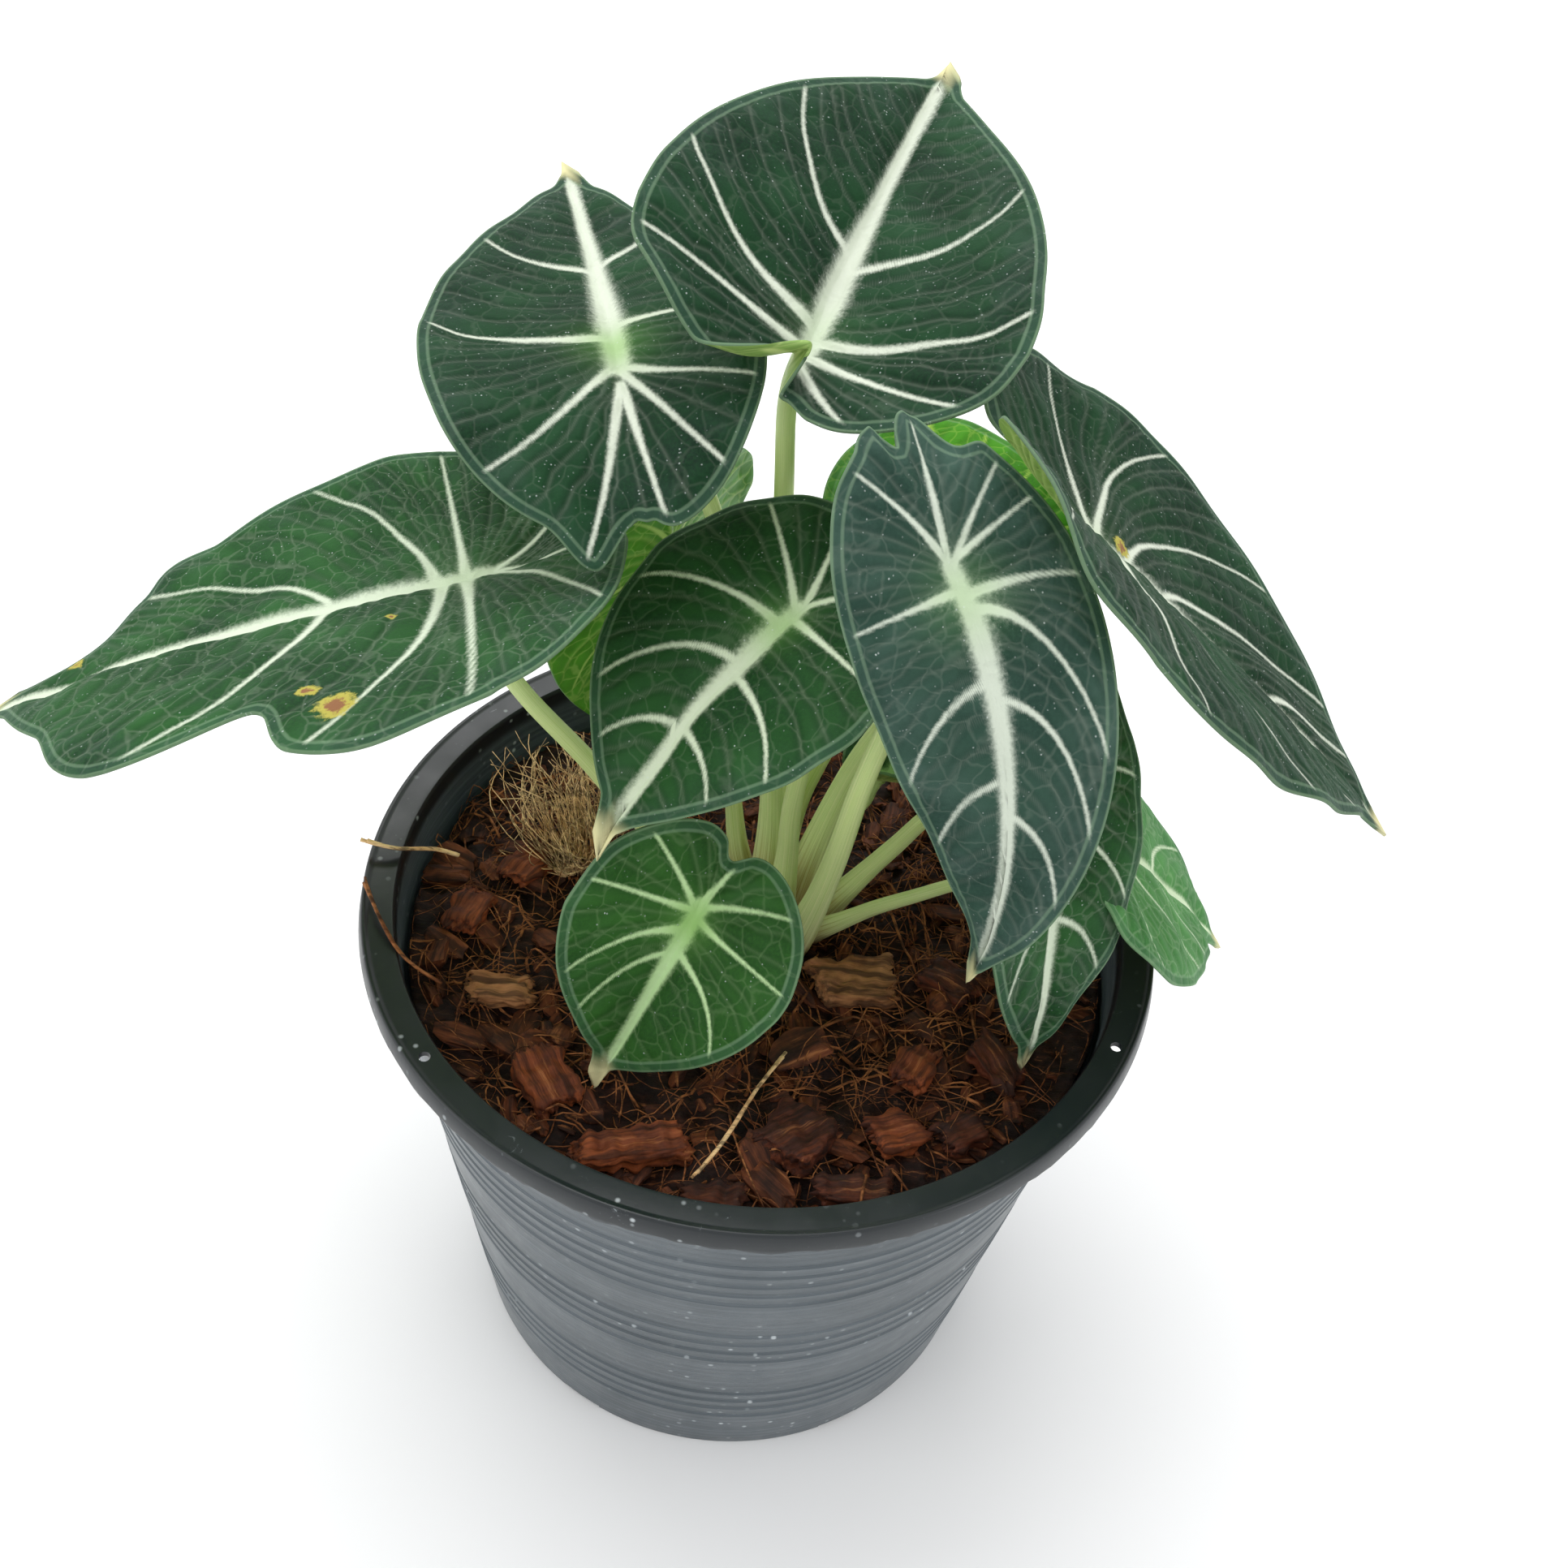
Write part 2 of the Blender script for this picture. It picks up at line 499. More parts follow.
def makeBlade(letter, leaf, materials):
    shape = bladeShape
    rng = np.random.default_rng(ord(letter))
    deselectAll()
    bpy.ops.mesh.primitive_grid_add(x_subdivisions=leaf["cells"], y_subdivisions=leaf["cells"], size=2)
    blade = bpy.context.object
    blade.name = "blade" + letter.upper()
    mesh = blade.data
    square = readPoints(mesh)[:, :2]

    turn, radius = discPlaces(square)
    outline = bladeOutline(leaf)
    along = np.interp(turn, np.append(outline[0], 1), np.append(outline[1], outline[1][0])) * radius
    across = np.interp(turn, np.append(outline[0], 1), np.append(outline[2], outline[2][0])) * radius
    flat = np.stack((along, across), -1)
    loop = np.stack(outline[1:], -1)[::4]
    edge = lineDistance(flat, np.vstack((loop, loop[:1])))[0]

    # veins
    stops = (-0.15 * leaf["lobes"], 0.12 * leaf["length"], 0.5 * leaf["length"], leaf["length"])
    midrib = np.array([(stop, 0.0) for stop in stops])
    scale = min(1.0, 0.45 + leaf["length"] / 130)
    ribs = scale * leaf.get("ribs", 1.0)
    midGap, midWidth = lineDistance(flat, midrib, np.array(shape["midribWidth"]) * ribs)
    white = 1.25 * np.exp(-(midGap / (midWidth + 1e-6)) ** 2)
    star = np.exp(-(np.hypot(along - 3, across) / (shape["starSize"] * scale)) ** 2)
    sideGap = np.full(len(flat), 1e9)
    for start, direction in leaf["veins"]:
        line = veinLine(outline, start, direction)
        widths = np.linspace(1, 0, len(line)) ** 1.5
        low, high = shape["veinWidth"][1] * ribs, shape["veinWidth"][0] * ribs
        gap, width = lineDistance(flat, line, low + (high - low) * widths)
        fade = 0.72 + 0.4 * (width - low) / (high - low)
        near = shape["starVein"] * star * np.exp(-(gap / shape["starWidth"]) ** 2)
        white = np.maximum(white, fade * np.exp(-(gap / width) ** 2) + near)
        sideGap = np.minimum(sideGap, gap)
    fineGap = np.full(len(flat), 1e9)
    for line in fineVeins(leaf, outline, rng):
        line = line + 0.5 * wobble(line, 12, int(rng.integers(1000)))[:, None]
        fineGap = np.minimum(fineGap, lineDistance(flat, line)[0])
    mainGap = np.minimum(sideGap, midGap)

    # height of the quilted surface over the plain bent blade, in mm
    inside = smoothStep(edge, 0.3, 4.0)
    height = shape["quilt"] * scale * (1 - np.exp(-(mainGap / 2.6) ** 2))
    offMidrib = 1 - np.exp(-(midGap / 2.6) ** 2)
    height += shape["fineQuilt"] * scale * (1 - np.exp(-(fineGap / 0.8) ** 2)) * offMidrib
    height -= 0.35 * np.exp(-(midGap / 1.6) ** 2) + 0.35 * shape["quilt"]
    height *= inside
    height += 0.5 * scale * wobble(flat, 26, ord(letter)) * smoothStep(edge, 0, 8)
    waves = np.stack((np.cos(turn * math.tau), np.sin(turn * math.tau)), -1) * 3
    ripple = wobble(waves, 1.6, ord(letter) + 7)
    height += shape["ripple"] * scale * ripple * np.exp(-edge / 5)
    height -= 0.25 * np.exp(-edge / 0.8)

    place = bladeSurface(leaf, along, across)
    writePoints(mesh, place)
    normals = readNormals(mesh)
    place = place + normals * height[:, None] * mm
    outward = bladeSurface(leaf, along * 1.01 + 1e-6, across * 1.01) - bladeSurface(leaf, along, across)
    outward /= np.linalg.norm(outward, axis=1)[:, None] + 1e-12
    writePoints(mesh, rollMargins(leaf, turn, edge, place, normals, outward))

    addValue(mesh, "vein", np.clip(white, 0, 1.3) * smoothStep(edge, 0.4, 2.2))
    heart = np.exp(-(np.hypot(along - 1, across) / (shape["heartSize"] * scale)) ** 2)
    addValue(mesh, "heart", leaf.get("heart", 0.2) * heart)
    addValue(mesh, "fineVein", np.exp(-(fineGap / shape["fineWidth"]) ** 2) * smoothStep(edge, 1, 3))
    addValue(mesh, "swell", 1 - np.exp(-(np.minimum(mainGap, fineGap) / 1.6) ** 2))
    addValue(mesh, "edge", edge)
    addValue(mesh, "tip", smoothStep(along, leaf["length"] - 3.5, leaf["length"] + 1.0))
    stain = np.zeros(len(flat))
    for spotAlong, spotAcross, size in leaf.get("stains", ()):
        stain = np.maximum(stain, np.exp(-(np.hypot(along - spotAlong, across - spotAcross) / size) ** 2))
    addValue(mesh, "stain", stain)
    addVector(mesh, "bladeMap", np.stack((along, across, np.zeros(len(flat))), -1) * 0.01)
    for material in materials:
        mesh.materials.append(material)
    wall = blade.modifiers.new("thickness", "SOLIDIFY")
    wall.thickness = shape["thickness"] * mm
    wall.offset = 0.0
    wall.material_offset = 1
    applyModifier(blade, wall)
    finishPiece(blade, ("leaf_" + letter,))


bladeTints = {
    # dark and light green between the veins, vein colour, grey bloom, dust, paleness of the net
    "deep": dict(dark=(0.0030, 0.017, 0.0075, 1), light=(0.0105, 0.052, 0.0175, 1),
                 vein=(0.62, 0.67, 0.56, 1), bloom=0.13, dust=0.42, net=0.03),
    "mid": dict(dark=(0.005, 0.027, 0.008, 1), light=(0.018, 0.076, 0.018, 1), vein=(0.59, 0.67, 0.50, 1),
                bloom=0.08, dust=0.25, net=0.04),
    "green": dict(dark=(0.006, 0.031, 0.010, 1), light=(0.022, 0.094, 0.022, 1), vein=(0.60, 0.68, 0.53, 1),
                  bloom=0.12, dust=0.30, net=0.07),
    "grey": dict(dark=(0.013, 0.037, 0.027, 1), light=(0.030, 0.072, 0.050, 1), vein=(0.58, 0.64, 0.54, 1),
                 bloom=0.30, dust=0.22, net=0.05),
    "fresh": dict(dark=(0.010, 0.046, 0.008, 1), light=(0.027, 0.104, 0.016, 1), vein=(0.47, 0.66, 0.34, 1),
                  bloom=0.05, dust=0.15, net=0.06),
    "pale": dict(dark=(0.040, 0.160, 0.040, 1), light=(0.095, 0.290, 0.080, 1), vein=(0.66, 0.78, 0.55, 1),
                 bloom=0.08, dust=0.10, net=0.12),
    "lime": dict(dark=(0.020, 0.130, 0.004, 1), light=(0.080, 0.330, 0.015, 1), vein=(0.45, 0.65, 0.12, 1),
                 bloom=0.02, dust=0.05, net=0.25),
}


def makeBladeGroup():
    tree, given, made = newGroup(
        "velvetBlade",
        (("Dark", "Color", None), ("Light", "Color", None), ("Vein", "Color", None), ("Bloom", "Float", 0.3),
         ("Dust", "Float", 0.4), ("Net", "Float", 0.1)),
        (("Color", "Color"), ("Roughness", "Float"), ("Height", "Float")))
    place = readAttribute(tree, "bladeMap", "Vector")
    vein = readAttribute(tree, "vein")
    fine = readAttribute(tree, "fineVein")
    swell = readAttribute(tree, "swell")
    broad = ramp(tree, noiseAt(tree, place, 5.0, 3.0), 0.3, 0.7)
    grain = noiseAt(tree, place, 160.0, 4.0, 0.6)
    green = blendColours(tree, broad, given["Dark"], given["Light"])
    green = blendColours(tree, ramp(tree, grain, 0.35, 0.7, 0.0, 0.5), green, given["Light"])
    green = blendColours(tree, ramp(tree, swell, 0.0, 0.7, 0.35, 0.0), green, given["Dark"])
    net = useGroup(tree, veinNet, {"Place": place, "Scale": 24.0})
    netAmount = times(tree, net["Net"], given["Net"])
    green = blendColours(tree, netAmount, green, given["Vein"])
    green = tinted(tree, green, given["Vein"], fine, 0.07)
    # soft grey bloom in patches, stronger towards the margin
    patch = ramp(tree, noiseAt(tree, place, 9.0, 5.0, 0.62), 0.35, 0.75)
    near = ramp(tree, readAttribute(tree, "edge"), 1.0, 14.0, 1.0, 0.25)
    bloom = times(tree, times(tree, patch, near), given["Bloom"])
    green = blendColours(tree, bloom, green, (0.12, 0.19, 0.165, 1))
    feather = times(tree, calc(tree, "SUBTRACT", noiseAt(tree, place, 130.0, 3.0, 0.7), 0.5), 0.7)
    white = ramp(tree, calc(tree, "ADD", vein, feather), 0.06, 0.96)
    white = times(tree, white, ramp(tree, vein, 0.03, 0.2))
    heart = readAttribute(tree, "heart")
    green = tinted(tree, green, (0.12, 0.30, 0.06, 1), heart, 0.5)
    rib = blendColours(tree, heart, given["Vein"], (0.26, 0.47, 0.13, 1))
    green = blendColours(tree, white, green, rib)
    margin = useGroup(tree, bladeMargin, {"Edge": readAttribute(tree, "edge"),
                                          "Width": bladeShape["marginWidth"]})
    green = tinted(tree, green, (0.050, 0.105, 0.075, 1), margin["Band"], 0.28)
    green = tinted(tree, green, (0.30, 0.45, 0.29, 1), margin["Line"], 0.24)
    green = tinted(tree, green, (0.30, 0.45, 0.26, 1), margin["Rim"], 0.35)
    specks = useGroup(tree, dustSpecks, {"Place": place, "Scale": 130.0, "Amount": given["Dust"]})
    green = tinted(tree, green, (0.62, 0.68, 0.66, 1), specks["Mask"], 0.55)
    tipWhite = readAttribute(tree, "tip")
    green = blendColours(tree, tipWhite, green, (0.66, 0.62, 0.34, 1))
    broken = calc(tree, "ADD", readAttribute(tree, "stain"),
                   times(tree, calc(tree, "SUBTRACT", noiseAt(tree, place, 60.0, 4.0, 0.7), 0.5), 1.1))
    yellow = ramp(tree, broken, 0.35, 0.6)
    brown = ramp(tree, broken, 0.7, 0.9)
    hasStain = ramp(tree, readAttribute(tree, "stain"), 0.05, 0.2)
    green = tinted(tree, green, (0.40, 0.36, 0.07, 1), yellow, hasStain)
    green = tinted(tree, green, (0.24, 0.11, 0.05, 1), brown, hasStain)
    tree.links.new(green, made["Color"])
    rough = calc(tree, "ADD", 0.52, times(tree, grain, 0.2))
    tree.links.new(rough, made["Roughness"])
    height = calc(tree, "ADD", times(tree, grain, 0.35), times(tree, net["Swell"], 0.5))
    tree.links.new(height, made["Height"])
    return tree


velvetBlade = makeBladeGroup()


def makeBladeTop(name, tint):
    material, tree, shader = newMaterial(name)
    found = useGroup(tree, velvetBlade, {"Dark": tint["dark"], "Light": tint["light"], "Vein": tint["vein"],
                                         "Bloom": tint["bloom"], "Dust": tint["dust"], "Net": tint["net"]})
    tree.links.new(found["Color"], shader.inputs["Base Color"])
    tree.links.new(found["Roughness"], shader.inputs["Roughness"])
    bumpInto(tree, shader, found["Height"], 0.00022, 1.0)
    shader.inputs["Specular IOR Level"].default_value = 0.09
    shader.inputs["Sheen Weight"].default_value = 0.02
    shader.inputs["Sheen Roughness"].default_value = 0.45
    shader.inputs["Sheen Tint"].default_value = (0.75, 0.95, 0.88, 1)
    return material


def makeBladeUnder(name, base, vein):
    material, tree, shader = newMaterial(name)
    place = readAttribute(tree, "bladeMap", "Vector")
    mottle = ramp(tree, noiseAt(tree, place, 14.0, 4.0), 0.3, 0.7)
    green = blendColours(tree, mottle, base, tuple(0.72 * value for value in base[:3]) + (1,))
    net = useGroup(tree, veinNet, {"Place": place, "Scale": 24.0})
    green = tinted(tree, green, vein, net["Net"], 0.35)
    green = tinted(tree, green, vein, readAttribute(tree, "fineVein"), 0.5)
    green = blendColours(tree, ramp(tree, readAttribute(tree, "vein"), 0.3, 0.8), green, vein)
    tree.links.new(green, shader.inputs["Base Color"])
    rough = calc(tree, "ADD", 0.45, times(tree, mottle, 0.1))
    tree.links.new(rough, shader.inputs["Roughness"])
    bumpInto(tree, shader, net["Swell"], 0.00012, 0.7)
    shader.inputs["Specular IOR Level"].default_value = 0.4
    return material


print("making leaves")
bladeTops = {name: makeBladeTop("bladeTop" + name.capitalize(), tint) for name, tint in bladeTints.items()}
bladeUnder = makeBladeUnder("bladeUnder", (0.26, 0.43, 0.10, 1), (0.50, 0.62, 0.22, 1))
bladeUnderLime = makeBladeUnder("bladeUnderLime", (0.10, 0.36, 0.03, 1), (0.50, 0.70, 0.20, 1))
for letter, leaf in leafSettings.items():
    under = bladeUnderLime if leaf["tint"] == "lime" else bladeUnder
    makeBlade(letter, leaf, (bladeTops[leaf["tint"]], under))


# stalks

stalkShape = {
    "crownCentre": (3.0, 6.0, 96.0),
    "crownRadius": 11.0,
    "scarDepth": 0.25,      # old leaf scars ring the crown
    "crownLumps": (0.5, 0.2),
    "footSwell": 1.45,      # how much wider the sheathing foot is
    "rings": 60,
    "sides": 20,
}


def stalkPath(leaf, count):
    distance, angle = leaf["foot"]
    turned = math.radians(angle)
    lift = math.sqrt(stalkShape["crownRadius"] ** 2 - distance ** 2)
    outward = np.array((distance * math.cos(turned), distance * math.sin(turned), lift))
    outward /= np.linalg.norm(outward)
    foot = np.array(stalkShape["crownCentre"]) + outward * (stalkShape["crownRadius"] - 2.0)
    raised = raisedAxes(leaf, np.zeros(1))[1][0]
    end = np.array(leaf["at"], float) - raised * 1.0
    reach = np.linalg.norm(end - foot)
    rise = outward + np.array((0, 0, 0.8))
    rise /= np.linalg.norm(rise)
    bow = np.array((*leaf["sway"], 0.0))
    second = foot + rise * reach * 0.4 + bow
    third = end - raised * reach * 0.25 + bow
    t = np.linspace(0, 1, count)[:, None]
    return (foot * (1 - t) ** 3 + second * 3 * t * (1 - t) ** 2 + third * 3 * t * t * (1 - t) + end * t ** 3)


def wrapTube(name, path, radii, sides, squash=1.0):
    # a grid wrapped round the path: x runs along it and y goes round
    rings = len(path)
    deselectAll()
    bpy.ops.mesh.primitive_grid_add(x_subdivisions=rings - 1, y_subdivisions=sides, size=2)
    tube = bpy.context.object
    tube.name = name
    mesh = tube.data
    square = readPoints(mesh)
    index = np.rint((square[:, 0] + 1) / 2 * (rings - 1)).astype(int)
    around = (square[:, 1] + 1) / 2 * math.tau
    tangent = np.gradient(path, axis=0)
    tangent /= np.linalg.norm(tangent, axis=1)[:, None]
    side = np.cross(tangent[0], (0.31, 0.92, 0.24))
    sideways = []
    for step in range(rings):  # carry the side vector along without twist
        side = side - tangent[step] * (side @ tangent[step])
        side = side / np.linalg.norm(side)
        sideways.append(side)
    sideways = np.array(sideways)
    upward = np.cross(tangent, sideways)
    radius = radii[index]
    flatten = 1 + (squash - 1) * (1 - index / (rings - 1)) ** 3
    across = radius * np.cos(around) * flatten
    lift = radius * np.sin(around)
    place = path[index] + sideways[index] * across[:, None] + upward[index] * lift[:, None]
    writePoints(mesh, place * mm)
    addValue(mesh, "lengthwise", index / (rings - 1))
    addVector(mesh, "stalkMap", np.stack((np.cos(around) * 0.2, np.sin(around) * 0.2, index / rings), -1))
    closeUp(tube, holes=sides + 2)
    return tube


def makeStalkSkin():
    material, tree, shader = newMaterial("stalkSkin")
    place = readAttribute(tree, "stalkMap", "Vector")
    up = readAttribute(tree, "lengthwise")
    streak = addNode(tree, "ShaderNodeMapping", {"Vector": place, "Scale": (60.0, 60.0, 3.0)}).outputs[0]
    streaks = ramp(tree, noiseAt(tree, streak, 1.0, 4.0, 0.6), 0.3, 0.7)
    green = blendColours(tree, streaks, (0.58, 0.74, 0.25, 1), (0.80, 0.88, 0.46, 1))
    green = blendColours(tree, ramp(tree, up, 0.55, 1.0), green, (0.60, 0.76, 0.32, 1))
    blush = ramp(tree, calc(tree, "ADD", up, times(tree, streaks, 0.06)), 0.03, 0.20, 1.0, 0.0)
    green = tinted(tree, green, (0.36, 0.17, 0.07, 1), blush, 0.75)
    tree.links.new(green, shader.inputs["Base Color"])
    tree.links.new(calc(tree, "ADD", 0.36, times(tree, streaks, 0.12)), shader.inputs["Roughness"])
    bumpInto(tree, shader, streaks, 0.00008, 0.6)
    shader.inputs["Subsurface Weight"].default_value = 0.15
    shader.inputs["Subsurface Radius"].default_value = (0.002, 0.003, 0.001)
    shader.inputs["Specular IOR Level"].default_value = 0.45
    return material


print("making stalks")
stalkSkin = makeStalkSkin()
for letter, leaf in leafSettings.items():
    path = stalkPath(leaf, stalkShape["rings"])
    low, high = leaf["stalk"]
    along = np.linspace(0, 1, len(path))
    radii = high + (low - high) * (1 - along) ** 2
    radii = radii * (1 + (stalkShape["footSwell"] - 1) * np.clip(1 - along / 0.25, 0, 1) ** 1.5)
    radii = radii * (1 + 0.35 * np.clip((along - 0.96) / 0.04, 0, 1) ** 2)
    bends = [wobble(along[:, None], 0.5, ord(letter) * 3 + axis) for axis in range(3)]
    path = path + 0.5 * np.stack(bends, -1) * np.sin(along * math.pi)[:, None]
    stalk = wrapTube("stalk" + letter.upper(), path, radii, stalkShape["sides"], squash=1.2)
    stalk.data.materials.append(stalkSkin)
    finishPiece(stalk, ("stalk_" + letter,))


# pot

potShape = {
    "rimRadius": 75.0,
    "rimTop": 114.3,
    "innerRadius": 68.9,
    "lip": 3.8,
    "bodyTop": (70.3, 110.4),
    "base": (55.2, 0.9),
    "grooveGroups": ((23.2, 4), (53.7, 4), (83.7, 5)),   # middle height and number of rings of each group
    "groovePitch": 4.2,
    "grooveDepth": 0.22,
    "steps": 240,
    "hangerHoles": (220.3, 337.4),
    "hangerHole": (1.05, 72.0),       # radius, and its middle from the pot's middle
    "drains": 6,
    "firstDrain": 61.2,
    "drainHole": (4.0, 40.0),
    "drainGroove": (32.2, 9.0, 2.4),  # long, wide and twice as deep as the groove
    "drainGrooveAt": 44.1,
}


def potProfile():
    p = potShape
    rim, top, inner = p["rimRadius"], p["rimTop"], p["innerRadius"]
    (baseR, baseZ), (topR, topZ) = p["base"], p["bodyTop"]

    def wall(z):
        return baseR + (topR - baseR) * (z - baseZ) / (topZ - baseZ)

    body = [(0.0, 1.1), (baseR - 9.0, 1.1), (baseR - 7.5, 0.0), (baseR - 0.7, 0.0), (baseR - 0.2, 0.3)]
    body += [(wall(z), z) for z in (1.2, 6.0, 11.0)]
    for middle, count in p["grooveGroups"]:
        for number in range(count):
            z = middle + (number - (count - 1) / 2) * p["groovePitch"]
            body += [(wall(z) + 0.04, z - 0.55), (wall(z) - p["grooveDepth"], z - 0.12),
                     (wall(z) - p["grooveDepth"], z + 0.12), (wall(z) + 0.04, z + 0.55)]
    body += [(wall(106.0), 106.0), (topR, topZ), (topR + 0.3, top - 1.5), (rim - 1.2, top - 1.5),
             (rim - 0.8, top - p["lip"] + 0.3), (rim - 0.4, top - p["lip"] - 0.2),
             (rim + 0.5, top - p["lip"] - 0.1), (rim + 0.62, top - p["lip"] + 0.5), (rim + 0.35, top - 1.8),
             (rim + 0.1, top - 0.5), (rim - 0.15, top - 0.12), (rim - 0.45, top), (rim - 0.85, top - 0.1),
             (rim - 1.15, top - 0.34), (rim - 1.6, top - 0.38), (inner + 0.9, top - 0.34),
             (inner + 0.35, top - 0.45), (inner + 0.05, top - 0.9), (inner - 0.05, top - 1.6),
             (inner - 0.9, top - 16.6), (inner - 1.3, top - 17.2), (inner - 2.0, top - 18.0),
             (baseR - 1.5, 5.0), (baseR - 2.3, 3.3), (baseR - 4.2, 2.6), (0.0, 2.6)]
    return body


def makePot():
    p = potShape
    profile = potProfile()
    mesh = bpy.data.meshes.new("nurseryPot")
    edges = [(i, i + 1) for i in range(len(profile) - 1)]
    mesh.from_pydata([(r * mm, 0, z * mm) for r, z in profile], edges, [])
    pot = bpy.data.objects.new("nurseryPot", mesh)
    bpy.context.scene.collection.objects.link(pot)
    makeActive(pot)
    bpy.ops.object.mode_set(mode="EDIT")
    bpy.ops.mesh.select_all(action="SELECT")
    bpy.ops.mesh.spin(steps=p["steps"], angle=math.tau, use_auto_merge=True, center=(0, 0, 0),
                      axis=(0, 0, 1))
    bpy.ops.object.mode_set(mode="OBJECT")
    closeUp(pot, threshold=2e-6)

    # torn moulding flash along the lip's lower edge
    points = readPoints(mesh)
    radius = np.hypot(points[:, 0], points[:, 1])
    angle = np.arctan2(points[:, 1], points[:, 0])
    ring = np.stack((np.cos(angle), np.sin(angle)), -1)
    low = (p["rimTop"] - p["lip"] - 0.3) * mm
    above = (points[:, 2] - low) / mm
    onFlash = (radius > (p["rimRadius"] - 0.9) * mm) & (above < 0.75) & (above > -0.1)
    tear = wobble(ring, 0.09, 5) * 0.5 + wobble(ring, 0.03, 6) * 0.35
    tear = np.minimum(tear, 0.35)
    points[:, 2] += np.where(onFlash, tear * mm * smoothStep(-points[:, 2], -low - 0.8 * mm, -low), 0)
    # the wall isn't quite round
    swell = 1 + 0.0016 * wobble(ring, 1.7, 9) * smoothStep(points[:, 2], 0.01, 0.09)
    points[:, 0] *= swell
    points[:, 1] *= swell
    writePoints(mesh, points)

    for angle in p["hangerHoles"]:
        radius, distance = p["hangerHole"]
        cutRound(pot, angle, radius, distance, p["rimTop"], 20)
    for number in range(p["drains"]):
        angle = p["firstDrain"] + number * 360 / p["drains"]
        deselectAll()
        bpy.ops.mesh.primitive_cube_add(size=1)
        cutter = bpy.context.object
        cutter.scale = [side * mm for side in p["drainGroove"]]
        cutter.rotation_euler = (0, 0, math.radians(angle))
        cutter.location = aroundPot(angle, p["drainGrooveAt"], 0)
        cutHole(pot, cutter)
        radius, distance = p["drainHole"]
        cutRound(pot, angle, radius, distance, 0, 28)
    return pot


def aroundPot(angle, distance, height):
    turned = math.radians(angle)
    return (math.cos(turned) * distance * mm, math.sin(turned) * distance * mm, height * mm)


def cutRound(piece, angle, radius, distance, height, sides):
    deselectAll()
    bpy.ops.mesh.primitive_cylinder_add(vertices=sides, radius=radius * mm, depth=10 * mm,
                                        location=aroundPot(angle, distance, height))
    cutHole(piece, bpy.context.object)


def cutHole(piece, cutter):
    cut = piece.modifiers.new("hole", "BOOLEAN")
    cut.operation = "DIFFERENCE"
    cut.solver = "EXACT"
    cut.object = cutter
    applyModifier(piece, cut)
    bpy.data.objects.remove(cutter)


def makePotPlastic():
    material, tree, shader = newMaterial("potPlastic")
    place = objectPlace(tree)
    parts = addNode(tree, "ShaderNodeSeparateXYZ", {0: place}).outputs
    broad = ramp(tree, noiseAt(tree, place, 22.0, 4.0, 0.55), 0.3, 0.7)
    base = blendColours(tree, broad, (0.036, 0.050, 0.059, 1), (0.062, 0.080, 0.093, 1))
    onTop = ramp(tree, parts[2], 0.1085, 0.1110)
    base = blendColours(tree, onTop, base, (0.0075, 0.0115, 0.0140, 1))
    # streaks run round the moulded wall
    rings = addNode(tree, "ShaderNodeMapping", {"Vector": place, "Scale": (14.0, 14.0, 900.0)}).outputs[0]
    ringStreak = ramp(tree, noiseAt(tree, rings, 1.0, 3.0, 0.6), 0.35, 0.75)
    ringStreak = times(tree, ringStreak, calc(tree, "SUBTRACT", 1.0, onTop))
    base = tinted(tree, base, (0.130, 0.155, 0.175, 1), ringStreak, 0.45)
    # pale scuffs, mostly on the rim and the lip
    scratch = addNode(tree, "ShaderNodeTexNoise", {"Vector": place, "Scale": 260.0, "Detail": 6.0,
                                                   "Roughness": 0.75, "Distortion": 1.6}).outputs["Fac"]
    scuff = ramp(tree, scratch, 0.63, 0.74)
    onRim = ramp(tree, parts[2], 0.1095, 0.1125, 0.25, 0.9)
    where = ramp(tree, noiseAt(tree, place, 34.0, 3.0), 0.42, 0.66)
    scuff = times(tree, times(tree, scuff, onRim), where)
    base = blendColours(tree, scuff, base, (0.30, 0.34, 0.36, 1))
    specks = useGroup(tree, dustSpecks, {"Place": place, "Scale": 380.0, "Amount": 0.42})
    base = tinted(tree, base, (0.55, 0.60, 0.62, 1), specks["Mask"], 0.75)
    tree.links.new(base, shader.inputs["Base Color"])
    rough = ramp(tree, noiseAt(tree, place, 120.0, 5.0, 0.6), 0.2, 0.8, 0.28, 0.44)
    rough = calc(tree, "ADD", rough, times(tree, specks["Mask"], 0.2))
    tree.links.new(rough, shader.inputs["Roughness"])
    height = calc(tree, "ADD", times(tree, noiseAt(tree, place, 420.0, 4.0, 0.6), 0.6), ringStreak)
    bumpInto(tree, shader, height, 0.00010, 0.5)
    shader.inputs["Specular IOR Level"].default_value = 0.5
    return material


print("making pot")
potPlastic = makePotPlastic()
pot = makePot()
pot.data.materials.append(potPlastic)
makeActive(pot)
bpy.ops.object.shade_smooth_by_angle(angle=math.radians(38))
finishPiece(pot, ("nursery_pot",), smooth=False)


# potting mix and husk

huskShape = {
    "level": 101.0,
    "radius": 67.0,
    "baseRadius": 50.4,
    "floor": 2.9,
    "cells": 150,
    "crumbs": 420,
    "woodChips": (1, 10),
    "fibres": 1300,
    "tuftFibres": 170,
    "tuftEnds": ((-36, 9, 105.0), (-44, 30, 113.0)),
    "tuftWidths": (8, 17),
    "seed": 21,
}


def bedHeight(points):  # mm, from x and y in mm
    return (huskShape["level"] + 1.4 * wobble(points, 16, 31) + 0.8 * wobble(points, 6, 32)
            + 0.35 * wobble(points, 2.4, 33))


